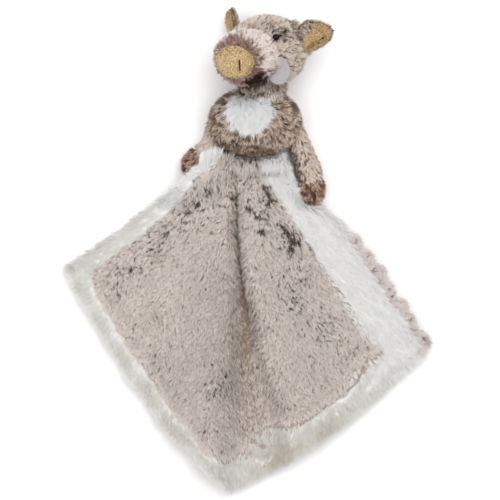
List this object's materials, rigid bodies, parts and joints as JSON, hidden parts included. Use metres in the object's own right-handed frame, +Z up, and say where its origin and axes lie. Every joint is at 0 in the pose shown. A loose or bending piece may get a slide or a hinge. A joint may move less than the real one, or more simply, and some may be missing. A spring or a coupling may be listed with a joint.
{
  "type": "lovey",
  "caption": "Plush comforter: a small boar with a stuffed head, belly and arms, whose lower body is a soft square blanket with a white border.",
  "frame": {"origin": "middle of the whole toy in plan, on the surface that it lies on", "axes": "+Z up from the surface, +Y from the blanket towards the head, +X to the right as seen in the picture; the toy lies on its back"},
  "size_m": [0.317, 0.4206, 0.0904],
  "materials": {
    "frosted_plush": "Frosted plush, dark brown roots and pale greige tips, brown patches",
    "white_plush": "Long-pile cool white plush",
    "rust_plush": "Brown-patched plush of the paws",
    "tan_velour": "Short tan velour of the snout and the ear linings",
    "white_felt": "Bluish-white felt",
    "black_gloss": "Black polished eye",
    "white_plastic": "Moulded washer",
    "dark_thread": "Embroidery thread",
    "polyester_filling": "Loose polyester filling"
  },
  "bodies": {
    "torso": {"torso_skin": "frosted_plush", "torso_stuffing": "polyester_filling", "belly_patch": "white_plush", "waist_seam": "frosted_plush"},
    "neck": {"neck": "frosted_plush"},
    "head": {"head_skin": "frosted_plush", "head_stuffing": "polyester_filling", "muzzle_skin": "frosted_plush", "muzzle_stuffing": "polyester_filling", "snout_pad": "tan_velour", "snout_stitch": "dark_thread", "chin": "frosted_plush", "eye_left": "black_gloss", "eye_right": "black_gloss", "eye_washer_left": "white_plastic", "eye_washer_right": "white_plastic", "tusk_left": "white_felt", "tusk_right": "white_felt"},
    "ear_left": {"ear_back_left": "frosted_plush", "ear_lining_left": "tan_velour"},
    "ear_right": {"ear_back_right": "frosted_plush", "ear_lining_right": "tan_velour"},
    "arm_left": {"arm_skin_left": "frosted_plush", "arm_stuffing_left": "polyester_filling", "paw_left": "rust_plush"},
    "arm_right": {"arm_skin_right": "frosted_plush", "arm_stuffing_right": "polyester_filling", "paw_right": "rust_plush"},
    "blanket": {"blanket_back": "frosted_plush", "blanket_centre": "frosted_plush", "border_top_left": "white_plush", "border_top_right": "white_plush", "border_bottom_left": "white_plush", "border_bottom_right": "white_plush"}
  },
  "joints": [
    {"name": "neck_nod", "type": "hinge", "parent": "torso", "child": "neck", "pos_m": [0.0155, 0.13867, 0.0335], "axis": [1, 0, 0], "range_deg": [-8, 15]},
    {"name": "neck_turn", "type": "hinge", "parent": "neck", "child": "head", "pos_m": [0.0155, 0.13867, 0.0335], "axis": [0, 1, 0], "range_deg": [-10, 60]},
    {"name": "ear_left_flop", "type": "hinge", "parent": "head", "child": "ear_left", "pos_m": [-0.01094, 0.18412, 0.01629], "axis": [0.3761, 0.0005, 0.9266], "range_deg": [-18, 18], "stiffness_Nm_per_rad": 0.01},
    {"name": "ear_right_flop", "type": "hinge", "parent": "head", "child": "ear_right", "pos_m": [0.0432, 0.17938, 0.05253], "axis": [0.2904, -0.9569, 0.0004], "range_deg": [-18, 18], "stiffness_Nm_per_rad": 0.01},
    {"name": "arm_left_swing", "type": "hinge", "parent": "torso", "child": "arm_left", "pos_m": [-0.02782, 0.10154, 0.015], "axis": [0, 0, -1], "range_deg": [0, 45]},
    {"name": "arm_right_swing", "type": "hinge", "parent": "torso", "child": "arm_right", "pos_m": [0.03942, 0.10154, 0.015], "axis": [0, 0, 1], "range_deg": [0, 45]},
    {"name": "blanket_lift", "type": "hinge", "parent": "torso", "child": "blanket", "pos_m": [0.0075, 0.07367, 0.02], "axis": [-1, 0, 0], "range_deg": [0, 25]}
  ]
}
